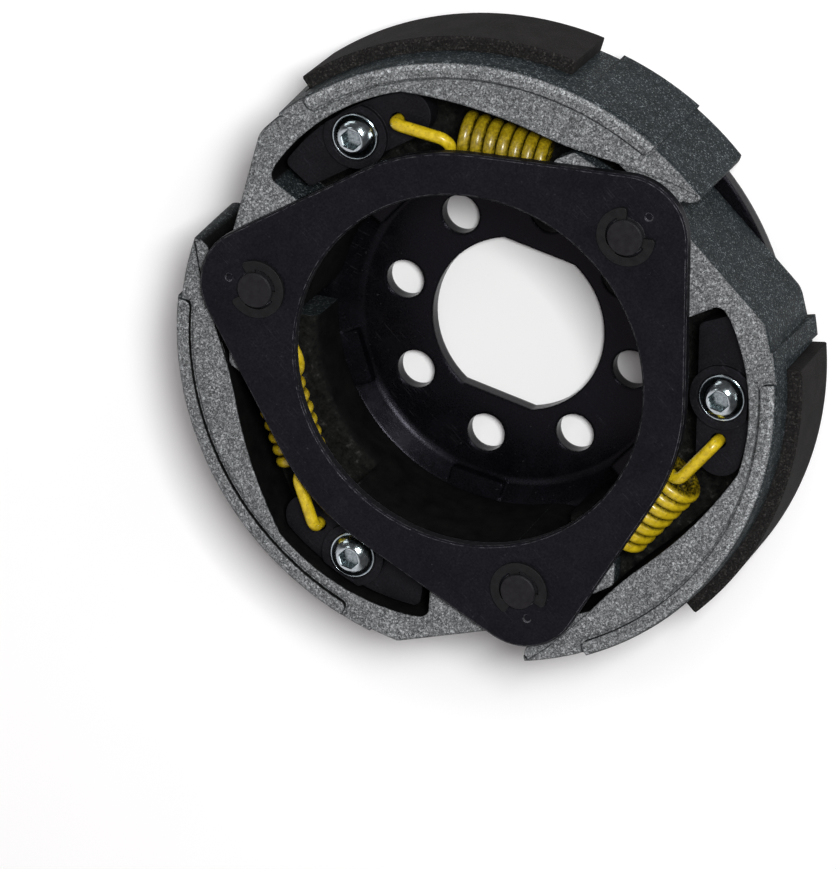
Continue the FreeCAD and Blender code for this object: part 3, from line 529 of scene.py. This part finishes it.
def spring_path():
    """Points of the wire in millimetres with their share of painted shade and dirt, the coil's start,
    direction and end.
    """
    axis_z = SHOE_FRONT_Z - SPRING_AXIS_DEPTH
    along = polar(1.0, SPRING_AXIS_ANGLE - 90)
    eye = polar(EYE_R, EYE_ANGLE)
    hole = polar(PIN_CIRCLE_R, NEXT_PIN_ANGLE) + polar(HORN_HOLE_FROM_PIN, HORN_HOLE_ANGLE)
    start = eye.dot(along) + EYE_TO_COIL
    turns = int((hole.dot(along) - HORN_HOLE_TO_COIL - start) / COIL_PITCH)
    origin = polar(SPRING_AXIS_R, SPRING_AXIS_ANGLE, axis_z) + along * start
    coil = coil_points(origin, along, turns)

    way = (coil[1] - coil[0]).normalized()
    knee = coil[0] - way * KNEE_OUT
    over_eye = Vector((eye.x, eye.y, knee.z))
    eye_low = Vector((eye.x, eye.y, EYE_LOW_Z))
    near = bend(coil[0], knee, over_eye, KNEE_BEND_R) + bend(knee, over_eye, eye_low, EYE_BEND_R) + [eye_low]

    corner = Vector((coil[-1].x, coil[-1].y, axis_z - COIL_R))
    foot = Vector((hole.x, hole.y, corner.z))
    top = Vector((hole.x, hole.y, SHOE_FRONT_Z - HOOK_TOP_DEPTH))
    far = bend(coil[-1], corner, foot, FAR_BEND_R) + bend(corner, foot, top, FAR_BEND_R) + [top]
    path = [(p, 0.0) for p in reversed(near)] + [(p, 1.0) for p in coil] + [(p, 0.3) for p in far]
    return path, origin, along, coil[-1]


def wire(path):
    """Vertices and faces of a round wire along the path, and the share of painted shade and dirt of each
    ring.
    """
    kept = [path[0]]
    for point, share in path[1:]:
        if (point - kept[-1][0]).length > WIRE_MIN_STEP:
            kept.append((point, share))
    points = [point for point, _ in kept]
    last = len(points) - 1
    across = polar(1.0, SPRING_AXIS_ANGLE)
    verts = []
    for index, point in enumerate(points):
        heading = (points[min(index + 1, last)] - points[max(index - 1, 0)]).normalized()
        across = (across - heading * across.dot(heading)).normalized()
        beside = heading.cross(across)
        for side in range(WIRE_SIDES):
            turn = 2 * math.pi * side / WIRE_SIDES
            verts.append(point + (across * math.cos(turn) + beside * math.sin(turn)) * WIRE_R)
    faces = ring_faces(last + 1, WIRE_SIDES)
    faces.append(tuple(reversed(range(WIRE_SIDES))))
    faces.append(tuple(range(last * WIRE_SIDES, (last + 1) * WIRE_SIDES)))
    return verts, faces, [share for _, share in kept]


def make_spring(k, paint):
    """Wire of spring k from its shoe's eye through the coil to the horn by the next pin; the model's spring
    is hidden.
    """
    path, origin, along, coil_end = spring_path()
    verts, faces, shares = wire(path)
    mesh = smooth_mesh("spring_coil_%d" % k, verts, faces, k)
    grime_and_shade = mesh.attributes.new("grime_and_shade", "FLOAT", "POINT")
    # Painted shade with dirt on the wire nearer the coil axis, never less than the coil's dark share
    for index, vertex in enumerate(verts):
        away = vertex - origin
        from_axis = (away - along * away.dot(along)).length
        inner = min(max((INNER_SHADE_R - from_axis) / SHADE_FADE, 0.0), 1.0)
        grime_and_shade.data[index].value = max(inner, COIL_DARK_SHARE[k]) * shares[index // WIRE_SIDES]
    mesh.materials.append(paint)
    piece = put_in_scene("spring_coil_%d" % k, mesh)
    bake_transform(piece)
    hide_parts("spring_%d" % k)


# Screws

def screw_profile():
    """(radius, z) in millimetres from the tip of the shank up over the head to the socket."""
    rim_z = SCREW_SEAT_Z + FLANGE_HEIGHT
    profile = [
        (0.0, SCREW_TIP_Z), (SHANK_R - TIP_CHAMFER, SCREW_TIP_Z), (SHANK_R, SCREW_TIP_Z + TIP_CHAMFER),
        (SHANK_R, SCREW_SEAT_Z), (FLANGE_R - 0.15, SCREW_SEAT_Z), (FLANGE_R, SCREW_SEAT_Z + 0.15),
        (FLANGE_R, rim_z - 0.22), (FLANGE_R - 0.09, rim_z - 0.08), (FLANGE_R - 0.25, rim_z),
        (FLANGE_R - 0.32, rim_z), (FLANGE_R - 0.40, rim_z - 0.05),
    ]
    for step in range(DOME_STEPS + 1):
        tilt = math.radians(DOME_LOW_TILT + (DOME_HIGH_TILT - DOME_LOW_TILT) * step / DOME_STEPS)
        rise = math.cos(tilt) - math.cos(math.radians(DOME_LOW_TILT))
        profile.append((DOME_R * math.sin(tilt), rim_z + 0.1 + DOME_R * rise))
    return profile


def make_screw(k, head, inside):
    centre = polar(SCREW_R, SCREW_ANGLE)
    angles = [360.0 * side / SCREW_SIDES for side in range(SCREW_SIDES)]
    profile = screw_profile()
    top_z = profile[-1][1]
    verts = [centre + polar(radius, angle, z) for radius, z in profile for angle in angles]
    for depth, wider in ((0.0, SOCKET_CHAMFER_R), (SOCKET_CHAMFER_DEPTH, 0.0), (SOCKET_DEPTH, 0.0)):
        for angle in angles:
            reach = SOCKET_HALF_WIDTH / math.cos(math.radians(angle % 60.0 - 30.0)) + wider
            verts.append(centre + polar(reach, angle, top_z - depth))
    rings = len(verts) // SCREW_SIDES
    faces = ring_faces(rings, SCREW_SIDES)
    faces.append(tuple(range((rings - 1) * SCREW_SIDES, rings * SCREW_SIDES)))
    mesh = smooth_mesh("screw_head_%d" % k, verts, faces, k)
    mesh.set_sharp_from_angle(angle=math.radians(SHARP_ANGLE))
    mesh.materials.append(head)
    mesh.materials.append(inside)
    # Faces inside the socket take the darker steel: painted shade of the recess
    for index in range((rings - 2) * SCREW_SIDES, len(faces)):
        mesh.polygons[index].material_index = 1
    piece = put_in_scene("screw_head_%d" % k, mesh)
    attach(piece, "shoe_arm_%d" % k)
    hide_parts("adjuster_screw_%d" % k)


# Camera, floor and light

def make_camera():
    data = bpy.data.cameras.new("camera")
    data.sensor_width = SENSOR_MM
    data.lens = FOCAL_PX * SENSOR_MM / PHOTO_HEIGHT_PX
    data.clip_start = 0.05
    data.clip_end = 20.0
    camera = put_in_scene("camera", data)
    camera.location = CAMERA_PLACE
    camera.rotation_euler = tuple(math.radians(angle) for angle in CAMERA_ANGLES)
    bpy.context.scene.camera = camera


def make_floor():
    mesh = bpy.data.meshes.new("floor")
    half = FLOOR_HALF
    corners = [(-half, -half, 0.0), (half, -half, 0.0), (half, half, 0.0), (-half, half, 0.0)]
    mesh.from_pydata(corners, [], [(0, 1, 2, 3)])
    mesh.materials.append(floor_material())
    floor = put_in_scene("floor", mesh)
    floor.location.z = -FLOOR_DROP


def area_light(name, place, size, power, colour=(1.0, 1.0, 1.0)):
    """Lamp of a size in metres and a power in watts that faces the clutch."""
    data = bpy.data.lights.new(name, "AREA")
    data.shape = "RECTANGLE"
    data.size, data.size_y = size
    data.energy = power
    data.color = colour
    light = put_in_scene(name, data)
    light.location = place
    heading = Vector(LAMP_TARGET) - Vector(place)
    light.rotation_euler = heading.to_track_quat("-Z", "Y").to_euler()


def make_lights():
    area_light("key", (1.065, -0.03, 1.53), (0.45, 0.45), 31.5, colour=(0.985, 1.0, 0.996))
    area_light("strip", (0.25, 1.1, 0.40), (0.9, 0.2), 0.8)
    area_light("side", (0.90, -0.75, 0.35), (0.5, 0.3), 1.1)
    area_light("small", (0.04, 0.70, 0.97), (0.25, 0.25), 0.5)


def make_world():
    """White backdrop, soft room light from the key lamp's side, mirrored white on the far side."""
    world = bpy.data.worlds.new("studio")
    world.use_nodes = True
    t = Nodes(world.node_tree)
    direction = t.add("ShaderNodeTexCoord").outputs["Generated"]
    rays = t.add("ShaderNodeLightPath").outputs

    def strength(axis, start, full, low, high):
        """Rises from low to high as the direction's share along the axis goes from start to full."""
        along = t.vector("DOT_PRODUCT", direction, axis, result="Value")
        return t.add("ShaderNodeMapRange", {
            "Value": along, "From Min": start, "From Max": full, "To Min": low, "To Max": high,
        }, interpolation_type="SMOOTHSTEP").outputs["Result"]

    room = strength((0.56, -0.02, 0.83), 0.2, 0.95, 0.03, 0.37)
    mirrored = strength((-0.90, -0.10, 0.42), 0.35, 0.80, 0.07, 0.80)
    lit = t.add("ShaderNodeMix", {0: rays["Is Glossy Ray"], 2: room, 3: mirrored}).outputs[0]
    amount = t.add("ShaderNodeMix", {0: rays["Is Camera Ray"], 2: lit, 3: 1.0}).outputs[0]
    tint = t.add("ShaderNodeMix", {
        0: rays["Is Camera Ray"], 6: (1.0, 0.925, 0.945, 1.0), 7: (1.0, 1.0, 1.0, 1.0),
    }, data_type="RGBA").outputs[2]
    background = t.tree.nodes["Background"]
    t.put(background.inputs["Strength"], amount)
    t.put(background.inputs["Color"], tint)
    bpy.context.scene.world = world


dress_all()
yellow = spring_paint()
# Darker steel for inside the sockets: painted shade
socket = socket_shade_steel()
for number, turned in SHOE_TURNS.items():
    make_spring(number, yellow)
    screw_centre = polar(SCREW_R, SCREW_ANGLE + turned) * MM
    make_screw(number, zinc("zinc_%d" % number, screw_centre), socket)
make_camera()
make_floor()
make_world()
make_lights()
bpy.context.scene.view_settings.view_transform = "Standard"
